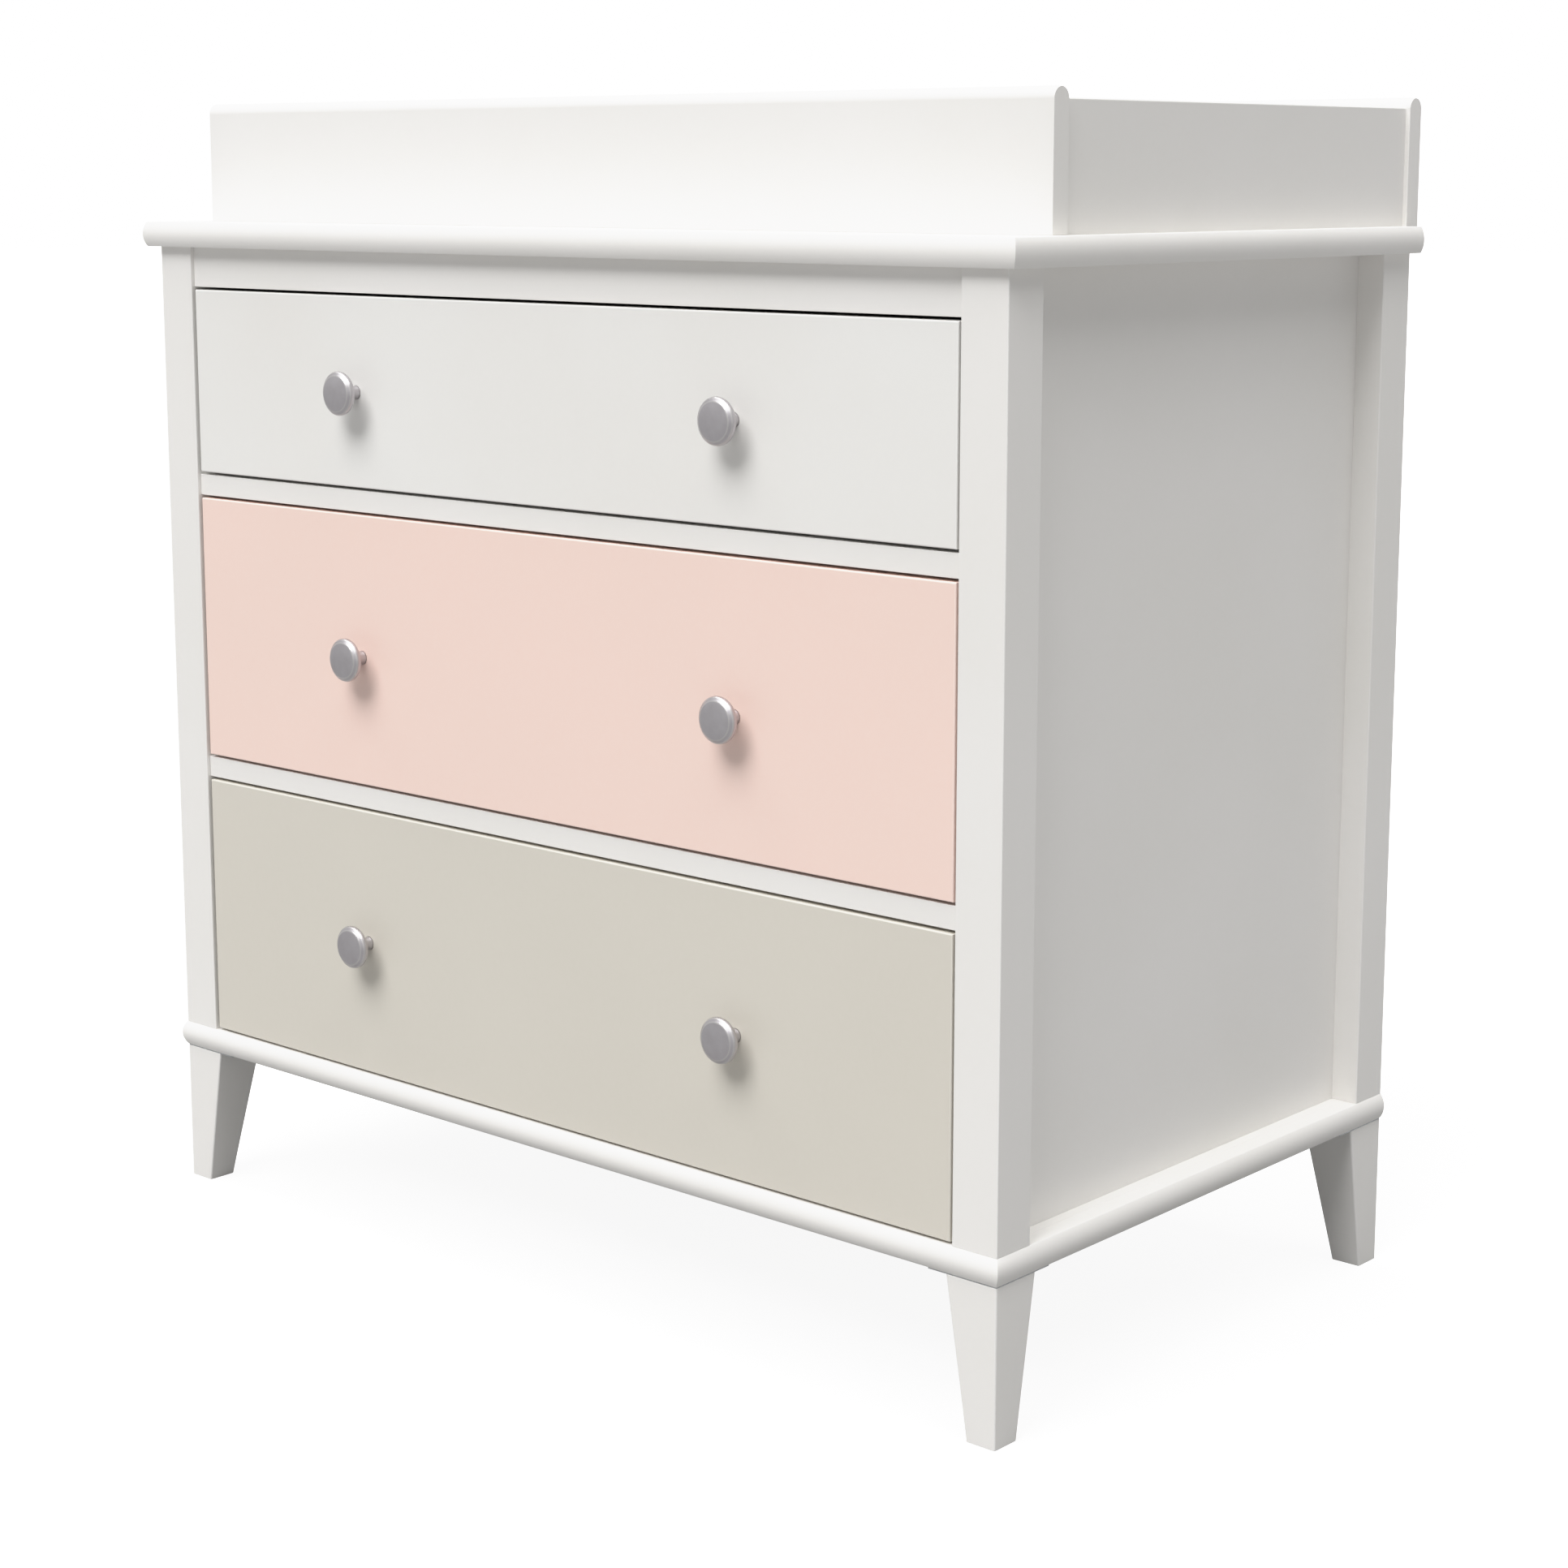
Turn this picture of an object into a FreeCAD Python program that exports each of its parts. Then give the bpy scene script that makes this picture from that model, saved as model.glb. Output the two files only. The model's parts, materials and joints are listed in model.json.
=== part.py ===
"""Changing table: a three-drawer dresser with a four-sided changing tray on its top.

Millimetres, +Z up, front facing -Y. The origin is on the floor, under the middle of the overall box.
"""
import FreeCAD, Part
import math
import os

V = FreeCAD.Vector
Y, Z = V(0, 1, 0), V(0, 0, 1)
LEFT, RIGHT = -1, 1

# Case, measured over the posts
case_width = 950.0
case_depth = 540.0
post_height = 715.0
post_width = 42.0
post_depth = 40.3
post_edge = 1.0
side_thickness = 18.0
side_recess = 24.0

# Rails across the front and the rear
rail_recess = 3.5
rail_height = 18.5
rail_depth = 60.0
top_rail_thickness = 18.0
top_rail_height = 34.8
rear_rail_thickness = 16.0
rear_rail_height = 80.0
back_thickness = 3.0
back_inset = 6.0
back_drop = 1.0

# Top panel and its mouldings
top_thickness = 21.5
top_side_overhang = 9.8
top_front_overhang = 7.1
top_bulge = 3.0
moulding_width = 15.0

# Base panel and its mouldings
base_thickness = 21.5
base_bulge = 3.8

# Legs and their mounting plates
leg_length = 125.8
leg_top = 47.5
leg_foot = 27.0
leg_edge = 1.5
plate_thickness = 1.2
plate_inset = 0.5
plate_margin = 17.0
leg_bolt_radius = 4.0
leg_bolt_depth = 40.0
leg_bolt_rise = 12.0
plate_screw_gap = 1.7
plate_screw_radius = 2.0
plate_screw_length = 14.0
plate_screw_head = 3.8
plate_screw_head_height = 1.8

# Changing tray
tray_board = 18.0
tray_end_inset = 4.5
tray_side_inset = 4.0
tray_setback = 55.0
tray_side_height = 95.7
tray_front_height = 103.5
tray_rear_lift = 1.5
tray_side_edge = 1.5
tray_cam_rise = 24.0
tray_cam_spacing = 48.0

# Drawer fronts
small_front_height = 161.3
front_thickness = 18.0
front_recess = 1.5
front_gap = 2.5
front_side_gap = 3.0
bottom_gap = 2.0
front_edge = 1.0

# Drawer boxes
box_side = 12.0
box_rear_room = 84.5
box_drop = 50.0
box_lift = 12.0
box_bottom = 3.2
groove_depth = 5.0
groove_rise = 8.0
groove_play = 0.15
runner_space = 13.0

# Knobs
knob_spacing = 432.0
knob_radius = 18.6
knob_projection = 24.0
knob_neck = 14.0
knob_neck_radius = 6.0
knob_waist_radius = 5.0
knob_neck_top_radius = 7.0
knob_rim = 4.5
knob_rim_round = 0.8
knob_bevel = 3.4
knob_bevel_rise = 1.9
knob_dome = 1.2
middle_knob_drop = 5.5
knob_screw_radius = 2.0
knob_screw_grip = 11.0
knob_screw_head = 4.0
knob_screw_head_height = 2.4

# Roller runners
runner_rear_setback = 20.0
runner_sheet = 1.2
runner_foot = 10.0
runner_web_margin = 2.4
runner_front_setback = 2.5
roller_radius = 7.5
roller_width = 8.0
roller_gap = 0.8
roller_play = 0.3
track_start_gap = 4.0
track_edge_gap = 1.0
axle_radius = 2.0
axle_play = 0.1
case_roller_setback = 12.0
drawer_roller_setback = 12.0
lip_gap = 0.4

# Fasteners
cam_radius = 7.5
cam_height = 12.5
cam_distance = 24.0
cam_bolt_radius = 3.0
cam_bolt_bite = 11.0
fit_play = 0.1
tray_screw_radius = 2.25
tray_screw_length = 50.0
tray_screw_head = 4.5
tray_screw_spacing = 280.0
tray_screws = 4

# Wall bracket for an anti-tip strap
bracket_width = 30.0
bracket_height = 35.0
bracket_sheet = 2.0
bracket_hole_radius = 3.0
bracket_drop = 25.0
bracket_screw_inset = 7.5
bracket_screw_length = 17.0

# Places that follow from the sizes above
half_width = case_width / 2
overall_depth = knob_projection - front_recess + case_depth + tray_board
front_y = -overall_depth / 2 + knob_projection - front_recess
rear_y = front_y + case_depth
plate_z = leg_length
plate_size = leg_top + plate_margin - plate_inset
base_z = plate_z + plate_thickness
case_z = base_z + base_thickness
top_z = case_z + post_height
surface_z = top_z + top_thickness
opening_half = half_width - post_width
rail_y = front_y + rail_recess
face_y = front_y + front_recess
inside_y = face_y + front_thickness
box_half = opening_half - runner_space
tray_half = half_width - tray_end_inset
tray_front_y = front_y + tray_setback
tray_back_y = rear_y
cam_pocket_depth = cam_height + fit_play

# The drawers, lowest first: name, bottom edge of the front, height of the front, knob drop
bottom_drawer_z = case_z + bottom_gap
rail_pitch = rail_height + 2 * front_gap
drawer_room = post_height - top_rail_height - bottom_gap - front_gap - 2 * rail_pitch
large_front_height = (drawer_room - small_front_height) / 2
middle_drawer_z = bottom_drawer_z + large_front_height + rail_pitch
top_drawer_z = middle_drawer_z + large_front_height + rail_pitch
top_rail_z = top_z - top_rail_height
box_length = rear_y - rear_rail_thickness - box_rear_room - inside_y
runner_length = box_length - runner_rear_setback
DRAWERS = (
    ("bottom", bottom_drawer_z, large_front_height, 0.0),
    ("middle", middle_drawer_z, large_front_height, middle_knob_drop),
    ("top", top_drawer_z, small_front_height, 0.0),
)

nodes = {}


# Shapes that several pieces use

def block(low, high):
    """A box from its lowest corner to its highest corner."""
    return Part.makeBox(high[0] - low[0], high[1] - low[1], high[2] - low[2], V(*low))


def rod(radius, start, end):
    """A round bar between two points."""
    start, end = V(*start), V(*end)
    return Part.makeCylinder(radius, (end - start).Length, start, end - start)


def prism(points, along):
    """A closed outline of straight edges, extruded along a vector."""
    wire = Part.makePolygon([V(*p) for p in points] + [V(*points[0])])
    return Part.Face(wire).extrude(along)


def ease(shape, radius, keep):
    """Round the straight edges that keep() picks, given an edge's two ends."""
    edges = [e for e in shape.Edges if keep(e.Vertexes[0].Point, e.Vertexes[-1].Point)]
    return shape.makeFillet(radius, edges)


def upright(a, b):
    """True for an edge that runs straight up."""
    return abs(a.x - b.x) < 0.01 and abs(a.y - b.y) < 0.01


def joined(shapes):
    """Separate or touching solids as one shape."""
    return Part.makeCompound(shapes) if len(shapes) > 1 else shapes[0]


# Mouldings: a square-backed strip whose outer face is one arc, mitred at the front corners

def bowed_strip(low_z, high_z, bulge):
    """The strip's section as a face in the YZ plane: back at y = moulding_width, arc reaching y = -bulge."""
    width = moulding_width
    corners = [V(0, 0, low_z), V(0, width, low_z), V(0, width, high_z), V(0, 0, high_z)]
    edges = [Part.LineSegment(a, b).toShape() for a, b in zip(corners, corners[1:])]
    middle = V(0, -bulge, (low_z + high_z) / 2)
    edges.append(Part.Arc(corners[3], middle, corners[0]).toShape())
    return Part.Face(Part.Wire(edges))


def add_mouldings(name, low_z, high_z, chord_x, chord_y, bulge):
    """Front, left and right strips whose arcs start at +-chord_x and chord_y."""
    face = bowed_strip(low_z, high_z, bulge)
    out_x, out_y = chord_x + bulge, chord_y - bulge
    in_x, in_y = chord_x - moulding_width, chord_y + moulding_width
    reach = 2 * out_x
    front = face.copy()
    front.translate(V(-out_x, chord_y, 0))
    front = front.extrude(V(reach, 0, 0))
    plan = [(-out_x, out_y, low_z), (out_x, out_y, low_z),
            (in_x, in_y, low_z), (-in_x, in_y, low_z)]
    nodes[name + "_moulding_front"] = front.common(prism(plan, V(0, 0, high_z - low_z)))
    for side, word in ((LEFT, "left"), (RIGHT, "right")):
        strip = face.copy()
        strip.rotate(V(0, 0, 0), Z, -side * -90)
        strip.translate(V(side * chord_x, out_y if side == RIGHT else rear_y, 0))
        strip = strip.extrude(V(0, side * (rear_y - out_y), 0))
        plan = [(side * out_x, out_y, low_z), (side * out_x, rear_y, low_z),
                (side * in_x, rear_y, low_z), (side * in_x, in_y, low_z)]
        nodes[name + "_moulding_" + word] = strip.common(prism(plan, V(0, 0, high_z - low_z)))
    return in_x, in_y


# Fasteners that pull one board against another

cam_locks = []


def cam_joint(board, mate, corner, towards, into):
    """Cut a board for a cam lock and its mate for the bolt, and add both.

    corner is where the bolt crosses the joint, towards points from the mate into the board, and
    into points from the board's open face down into the board, starting at that face.
    """
    crossing, towards, (face_point, into) = V(*corner), V(*towards), into
    lock_axis = crossing + towards * cam_distance
    depth = abs((V(*face_point) - lock_axis).dot(into))
    mouth = lock_axis - into * depth
    pocket = Part.makeCylinder(cam_radius + fit_play, cam_pocket_depth, mouth, into)
    lock = Part.makeCylinder(cam_radius, cam_height, mouth, into)
    bolt_start = crossing - towards * cam_bolt_bite
    bolt_length = cam_bolt_bite + cam_distance - cam_radius / 2
    bolt = Part.makeCylinder(cam_bolt_radius, bolt_length, bolt_start, towards)
    drilling_radius = cam_bolt_radius + fit_play
    drilling = Part.makeCylinder(drilling_radius, bolt_length + fit_play, bolt_start, towards)
    nodes[board] = nodes[board].cut(pocket).cut(drilling)
    nodes[mate] = nodes[mate].cut(drilling)
    cam_locks.extend([lock.cut(drilling), bolt])


# Base, posts, sides, rails and back

def add_base():
    in_x, in_y = add_mouldings("base", base_z, case_z, half_width, front_y, base_bulge)
    nodes["base_panel"] = block((-in_x, in_y, base_z), (in_x, rear_y, case_z))


def add_posts():
    for x_side, x_word in ((LEFT, "left"), (RIGHT, "right")):
        for y_word, low_y in (("front", front_y), ("rear", rear_y - post_depth)):
            inner = x_side * opening_half
            outer = x_side * half_width
            post = block((min(inner, outer), low_y, case_z), (max(inner, outer), low_y + post_depth, top_z))
            nodes["post_%s_%s" % (y_word, x_word)] = ease(post, post_edge, upright)


def add_sides():
    for side, word in ((LEFT, "left"), (RIGHT, "right")):
        outer = half_width - side_recess
        low_x, high_x = sorted((side * outer, side * (outer - side_thickness)))
        low = (low_x, front_y + post_depth, case_z)
        nodes["side_panel_" + word] = block(low, (high_x, rear_y - post_depth, top_z))


def add_rails():
    span = opening_half
    back = rail_y + top_rail_thickness
    nodes["top_rail"] = block((-span, rail_y, top_rail_z), (span, back, top_z))
    for name, drawer_z in (("lower_rail", middle_drawer_z), ("upper_rail", top_drawer_z)):
        high_z = drawer_z - front_gap
        nodes[name] = block((-span, rail_y, high_z - rail_height), (span, rail_y + rail_depth, high_z))
    low = (-span, rear_y - rear_rail_thickness, top_z - rear_rail_height)
    nodes["rear_rail"] = block(low, (span, rear_y, top_z))
    for side in (LEFT, RIGHT):
        word = "left" if side == LEFT else "right"
        for name, drawer_z in (("lower_rail", middle_drawer_z), ("upper_rail", top_drawer_z)):
            low_z = drawer_z - front_gap - rail_height
            point = (side * span, rail_y + post_depth / 2, low_z + rail_height / 2)
            cam_joint(name, "post_front_" + word, point, (-side, 0, 0), ((0, 0, low_z), Z))
        middle_z = (top_rail_z + top_z) / 2
        point = (side * span, rail_y + top_rail_thickness / 2, middle_z)
        cam_joint("top_rail", "post_front_" + word, point, (-side, 0, 0), ((0, back, 0), -Y))
        front_of_rear = rear_y - rear_rail_thickness
        point = (side * span, rear_y - rear_rail_thickness / 2, top_z - rear_rail_height / 2)
        cam_joint("rear_rail", "post_rear_" + word, point, (-side, 0, 0), ((0, front_of_rear, 0), Y))


def add_back():
    outer = half_width - back_inset
    low = (-outer, rear_y, base_z + back_inset)
    nodes["back_panel"] = block(low, (outer, rear_y + back_thickness, top_z - back_drop))


def add_top():
    chord_x = half_width + top_side_overhang
    chord_y = front_y - top_front_overhang
    in_x, in_y = add_mouldings("top", top_z, surface_z, chord_x, chord_y, top_bulge)
    nodes["top_panel"] = block((-in_x, in_y, top_z), (in_x, rear_y, surface_z))


# Legs

def add_legs():
    plates = []
    bolts = []
    for x_side, x_word in ((LEFT, "left"), (RIGHT, "right")):
        for y_side, y_word, corner_y in ((LEFT, "front", front_y), (RIGHT, "rear", rear_y)):
            corner_x = x_side * half_width
            across = [(corner_x, corner_y, 0), (corner_x - x_side * leg_foot, corner_y, 0),
                      (corner_x - x_side * leg_top, corner_y, leg_length), (corner_x, corner_y, leg_length)]
            along = [(corner_x, corner_y, 0), (corner_x, corner_y - y_side * leg_foot, 0),
                     (corner_x, corner_y - y_side * leg_top, leg_length), (corner_x, corner_y, leg_length)]
            leg = prism(across, V(0, -y_side * leg_top, 0))
            leg = leg.common(prism(along, V(-x_side * leg_top, 0, 0)))
            leg = ease(leg, leg_edge, lambda a, b: abs(a.z - b.z) > leg_length / 2)
            plate_x = corner_x - x_side * (plate_inset + plate_size / 2)
            plate_y = corner_y - y_side * (plate_inset + plate_size / 2)
            half = plate_size / 2
            low = (plate_x - half, plate_y - half, plate_z)
            plate = block(low, (plate_x + half, plate_y + half, base_z))
            bolt_x = corner_x - x_side * leg_top / 2
            bolt_y = corner_y - y_side * leg_top / 2
            bolt_low = (bolt_x, bolt_y, plate_z - leg_bolt_depth)
            bolt_high = (bolt_x, bolt_y, base_z + leg_bolt_rise)
            bolts.append(rod(leg_bolt_radius, bolt_low, bolt_high))
            hole = rod(leg_bolt_radius + fit_play, bolt_low, bolt_high)
            nodes["leg_%s_%s" % (y_word, x_word)] = leg.cut(hole)
            near = moulding_width + plate_screw_radius + plate_screw_gap
            far = leg_top + plate_screw_head + plate_screw_gap
            for x_reach, y_reach in ((far, far), (far, near), (near, far)):
                screw_x = corner_x - x_side * x_reach
                screw_y = corner_y - y_side * y_reach
                under = (screw_x, screw_y, plate_z)
                tip = (screw_x, screw_y, plate_z + plate_screw_length)
                head_end = (screw_x, screw_y, plate_z - plate_screw_head_height)
                screw = rod(plate_screw_radius, under, tip)
                bolts.append(screw.fuse(rod(plate_screw_head, head_end, under)))
                hole = hole.fuse(rod(plate_screw_radius + fit_play, under, tip))
            plates.append(plate.cut(hole))
            nodes["base_panel"] = nodes["base_panel"].cut(hole)
    nodes["leg_mounts"] = joined(plates + bolts)


# Changing tray

def tray_long_board(low_y, low_z):
    """A board along the table whose top edge is a full half round."""
    high_z = surface_z + tray_front_height
    radius = tray_board / 2
    corners = [V(-tray_half, low_y, high_z - radius), V(-tray_half, low_y, low_z),
               V(-tray_half, low_y + tray_board, low_z), V(-tray_half, low_y + tray_board, high_z - radius)]
    edges = [Part.LineSegment(a, b).toShape() for a, b in zip(corners, corners[1:])]
    crown = V(-tray_half, low_y + radius, high_z)
    edges.append(Part.Arc(corners[3], crown, corners[0]).toShape())
    return Part.Face(Part.Wire(edges)).extrude(V(2 * tray_half, 0, 0))


def add_tray():
    nodes["tray_front_board"] = tray_long_board(tray_front_y, surface_z)
    nodes["tray_rear_board"] = tray_long_board(tray_back_y, top_z + tray_rear_lift)
    outer = tray_half - tray_side_inset
    high_z = surface_z + tray_side_height
    low_y = tray_front_y + tray_board
    for side, word in ((LEFT, "left"), (RIGHT, "right")):
        low_x, high_x = sorted((side * outer, side * (outer - tray_board)))
        board = block((low_x, low_y, surface_z), (high_x, tray_back_y, high_z))
        board = ease(board, tray_side_edge, lambda a, b: a.z + b.z > 2 * high_z - 1 and abs(a.x - b.x) < 1)
        name = "tray_%s_board" % word
        nodes[name] = board
        inner_face = side * (outer - tray_board)
        middle_x = side * (outer - tray_board / 2)
        opening = ((inner_face, 0, 0), V(side, 0, 0))
        for height in (tray_cam_rise, tray_cam_rise + tray_cam_spacing):
            for mate, joint_y, towards in (("front", low_y, 1), ("rear", tray_back_y, -1)):
                point = (middle_x, joint_y, surface_z + height)
                cam_joint(name, "tray_%s_board" % mate, point, (0, towards, 0), opening)


def sunk_screw(at_x, at_y, at_z, play):
    """A countersunk screw driven in from the rear, larger all round by play."""
    tip = (at_x, at_y - tray_screw_length, at_z)
    shank = rod(tray_screw_radius + play, (at_x, at_y, at_z), tip)
    taper = tray_screw_head - tray_screw_radius
    start = V(at_x, at_y, at_z)
    sink = Part.makeCone(tray_screw_head + play, tray_screw_radius + play, taper, start, -Y)
    return shank.fuse(sink)


def add_rear_fasteners():
    """Screws through the tray's rear board into the top, and the wall bracket with its two."""
    screws = []
    screw_z = (top_z + surface_z) / 2
    outside = rear_y + tray_board
    for place in range(tray_screws):
        at_x = (place - (tray_screws - 1) / 2) * tray_screw_spacing
        room = sunk_screw(at_x, outside, screw_z, fit_play)
        nodes["tray_rear_board"] = nodes["tray_rear_board"].cut(room)
        nodes["top_panel"] = nodes["top_panel"].cut(room)
        screws.append(sunk_screw(at_x, outside, screw_z, 0))
    face = rear_y + back_thickness
    high_z = top_z - bracket_drop
    low_z = high_z - bracket_height
    half = bracket_width / 2
    plate = block((-half, face, low_z), (half, face + bracket_sheet, high_z))
    shelf = block((-half, face, low_z), (half, outside, low_z + bracket_sheet))
    middle_y = (face + bracket_sheet + outside) / 2
    strap_top = (0, middle_y, low_z + bracket_sheet)
    strap_hole = rod(bracket_hole_radius, (0, middle_y, low_z), strap_top)
    bracket = plate.fuse(shelf).removeSplitter().cut(strap_hole)
    for side in (LEFT, RIGHT):
        at_x = side * (half - bracket_screw_inset)
        at_z = high_z - bracket_screw_inset
        start = (at_x, face + bracket_sheet, at_z)
        end = (at_x, face - bracket_screw_length, at_z)
        hole = rod(tray_screw_radius + fit_play, start, end)
        bracket = bracket.cut(hole)
        nodes["back_panel"] = nodes["back_panel"].cut(hole)
        nodes["rear_rail"] = nodes["rear_rail"].cut(hole)
        head_end = (at_x, face + bracket_sheet + tray_screw_radius, at_z)
        head = rod(tray_screw_head - fit_play, start, head_end)
        screws.append(rod(tray_screw_radius, start, end).fuse(head))
    nodes["wall_bracket"] = bracket
    nodes["rear_screws"] = joined(screws)


# Roller runners. The section is drawn for the right side, with u measured outwards from the drawer's
# side and z from the drawer's lower edge, and mirrored for the left.

roller_u = runner_sheet + roller_gap
roller_z = roller_radius + 2 * roller_play
flange_z = roller_z + roller_radius + roller_play
track_z = roller_z - roller_radius - roller_play
case_web_u = runner_space - runner_sheet
lip_u = roller_u + roller_width - runner_sheet + lip_gap
flange_u = lip_u - lip_gap


def strip(side, low_y, high_y, low_z, low_u, high_u, bottom, top):
    """A length of flat sheet in a runner's section."""
    low_x, high_x = sorted((side * (box_half + low_u), side * (box_half + high_u)))
    return block((low_x, low_y, low_z + bottom), (high_x, high_y, low_z + top))


def axle_and_roller(side, at_y, low_z, web_u):
    """A riveted axle from a web, and the nylon roller that turns on it."""
    centre_z = low_z + roller_z
    inner = side * (box_half + roller_u)
    outer = side * (box_half + roller_u + roller_width)
    web = side * (box_half + web_u)
    far = outer if abs(web - inner) < abs(web - outer) else inner
    axle = rod(axle_radius, (web, at_y, centre_z), (far, at_y, centre_z))
    wheel = rod(roller_radius, (inner, at_y, centre_z), (outer, at_y, centre_z))
    bore = rod(axle_radius + axle_play, (inner, at_y, centre_z), (outer, at_y, centre_z))
    return axle, wheel.cut(bore)


def drawer_runner(side, low_z):
    """Under flange, web and rolling flange of the drawer's own runner."""
    low_y, high_y = inside_y, inside_y + runner_length
    high = flange_z + runner_sheet
    under = strip(side, low_y, high_y, low_z, -runner_foot, runner_sheet, -runner_sheet, 0)
    web = strip(side, low_y, high_y, low_z, 0, runner_sheet, -runner_sheet, high)
    flange = strip(side, low_y, high_y, low_z, 0, flange_u, flange_z, high)
    axle, wheel = axle_and_roller(side, high_y - drawer_roller_setback, low_z, runner_sheet)
    return under.fuse([web, flange, axle]).removeSplitter(), wheel


def case_runner(side, low_z):
    """Web, track and capturing lip of the runner on the case."""
    low_y = inside_y + runner_front_setback
    high_y = low_y + runner_length
    low = track_z - runner_sheet
    lip_high = flange_z + runner_sheet
    high = lip_high + runner_web_margin
    web = strip(side, low_y, high_y, low_z, case_web_u, runner_space, low, high)
    start = low_y + case_roller_setback + roller_radius + track_start_gap
    track_u = roller_u + track_edge_gap
    track = strip(side, start, high_y, low_z, track_u, runner_space, low, track_z)
    lip = strip(side, start, high_y, low_z, lip_u, runner_space, flange_z, lip_high)
    axle, wheel = axle_and_roller(side, low_y + case_roller_setback, low_z, case_web_u)
    return web.fuse([track, lip, axle]).removeSplitter(), wheel


# Knobs

def knob_solid(at_x, at_z):
    """A turned knob: waisted neck, back of the head, rounded rim, bevel and a domed face."""
    face_radius = knob_radius - knob_bevel
    bevel_end = knob_projection - knob_dome
    rim_end = bevel_end - knob_bevel_rise
    rim_start = rim_end - knob_rim
    dome_radius = (face_radius ** 2 + knob_dome ** 2) / (2 * knob_dome)
    half_way = face_radius / 2
    dome_half = knob_projection - dome_radius + math.sqrt(dome_radius ** 2 - half_way ** 2)
    rim_edge = knob_radius - knob_rim_round
    points = [(0, 0), (knob_neck_radius, 0), (knob_waist_radius, knob_neck / 2),
              (knob_neck_top_radius, knob_neck), (rim_edge, rim_start),
              (knob_radius, (rim_start + rim_end) / 2), (rim_edge, rim_end),
              (face_radius, bevel_end), (half_way, dome_half), (0, knob_projection)]
    base, foot, waist, neck_top, rim_back, rim, rim_front, face_edge, face_half, face_middle = (
        V(radius, -out, 0) for radius, out in points)
    edges = [
        Part.LineSegment(base, foot).toShape(),
        Part.Arc(foot, waist, neck_top).toShape(),
        Part.LineSegment(neck_top, rim_back).toShape(),
        Part.Arc(rim_back, rim, rim_front).toShape(),
        Part.LineSegment(rim_front, face_edge).toShape(),
        Part.Arc(face_edge, face_half, face_middle).toShape(),
        Part.LineSegment(face_middle, base).toShape(),
    ]
    turned = Part.Face(Part.Wire(edges)).revolve(V(0, 0, 0), Y, 360)
    turned.translate(V(at_x, face_y, at_z))
    return turned


# Drawers

case_runners = []


def add_drawer(name, low_z, height, knob_drop):
    prefix = name + "_drawer_"
    half = opening_half - front_side_gap
    box_z = low_z + box_lift
    box_height = height - box_drop
    box_high = box_z + box_height
    box_end = inside_y + box_length
    groove_z = box_z + groove_rise
    front = block((-half, face_y, low_z), (half, inside_y, low_z + height))
    front = ease(front, front_edge, lambda a, b: max(a.y, b.y) < face_y + 0.01)
    inner = box_half - box_side
    bottom_half = inner + groove_depth - groove_play
    bottom_low_y = inside_y - groove_depth + groove_play
    bottom = block((-bottom_half, bottom_low_y, groove_z), (bottom_half, box_end, groove_z + box_bottom))
    groove = block((-inner - groove_depth, inside_y - groove_depth, groove_z - groove_play),
                   (inner + groove_depth, box_end, groove_z + box_bottom + groove_play))
    for side, word in ((LEFT, "left"), (RIGHT, "right")):
        low_x, high_x = sorted((side * box_half, side * inner))
        board = block((low_x, inside_y, box_z), (high_x, box_end, box_high))
        nodes[prefix + word + "_side"] = board.cut(groove)
    back_low = groove_z + box_bottom + groove_play
    nodes[prefix + "back"] = block((-inner, box_end - box_side, back_low), (inner, box_end, box_high))
    nodes[prefix + "bottom"] = bottom
    front = front.cut(groove)
    knobs = []
    knob_z = low_z + height / 2 - knob_drop
    for side in (LEFT, RIGHT):
        at_x = side * knob_spacing / 2
        shank_end = (at_x, face_y - knob_screw_grip, knob_z)
        head_end = (at_x, inside_y + knob_screw_head_height, knob_z)
        screw = rod(knob_screw_radius, (at_x, inside_y, knob_z), shank_end)
        screw = screw.fuse(rod(knob_screw_head, (at_x, inside_y, knob_z), head_end))
        hole = rod(knob_screw_radius + fit_play, (at_x, inside_y, knob_z), shank_end)
        knobs.extend([knob_solid(at_x, knob_z).cut(hole), screw])
        front = front.cut(hole)
    nodes[prefix + "front"] = front
    nodes[prefix + "knobs"] = joined(knobs)
    runners = []
    drawer_wheels = []
    case_wheels = []
    for side in (LEFT, RIGHT):
        runner, wheel = drawer_runner(side, box_z)
        runners.append(runner)
        drawer_wheels.append(wheel)
        runner, wheel = case_runner(side, box_z)
        case_runners.append(runner)
        case_wheels.append(wheel)
    nodes[prefix + "runners"] = joined(runners)
    nodes[prefix + "rollers"] = joined(drawer_wheels)
    nodes["case_rollers_" + name] = joined(case_wheels)


add_base()
add_posts()
add_sides()
add_rails()
add_back()
add_top()
add_legs()
add_tray()
add_rear_fasteners()
for drawer in DRAWERS:
    add_drawer(*drawer)
nodes["case_runners"] = joined(case_runners)
nodes["cam_locks"] = joined(cam_locks)

os.makedirs("parts", exist_ok=True)
for node_name, shape in nodes.items():
    shape.exportStep("parts/%s.step" % node_name)
print(len(nodes), "nodes")
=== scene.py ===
"""Changing table: a three-drawer dresser with a four-sided changing tray on its top.

Metres, +Z up, front facing -Y. Each CAD piece is stood for by a piece with eased edges, turned or
rounded where the real one is, and gets a finish of its own.
"""
import json
import math

import bmesh
import bpy
from mathutils import Matrix, Vector


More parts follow.
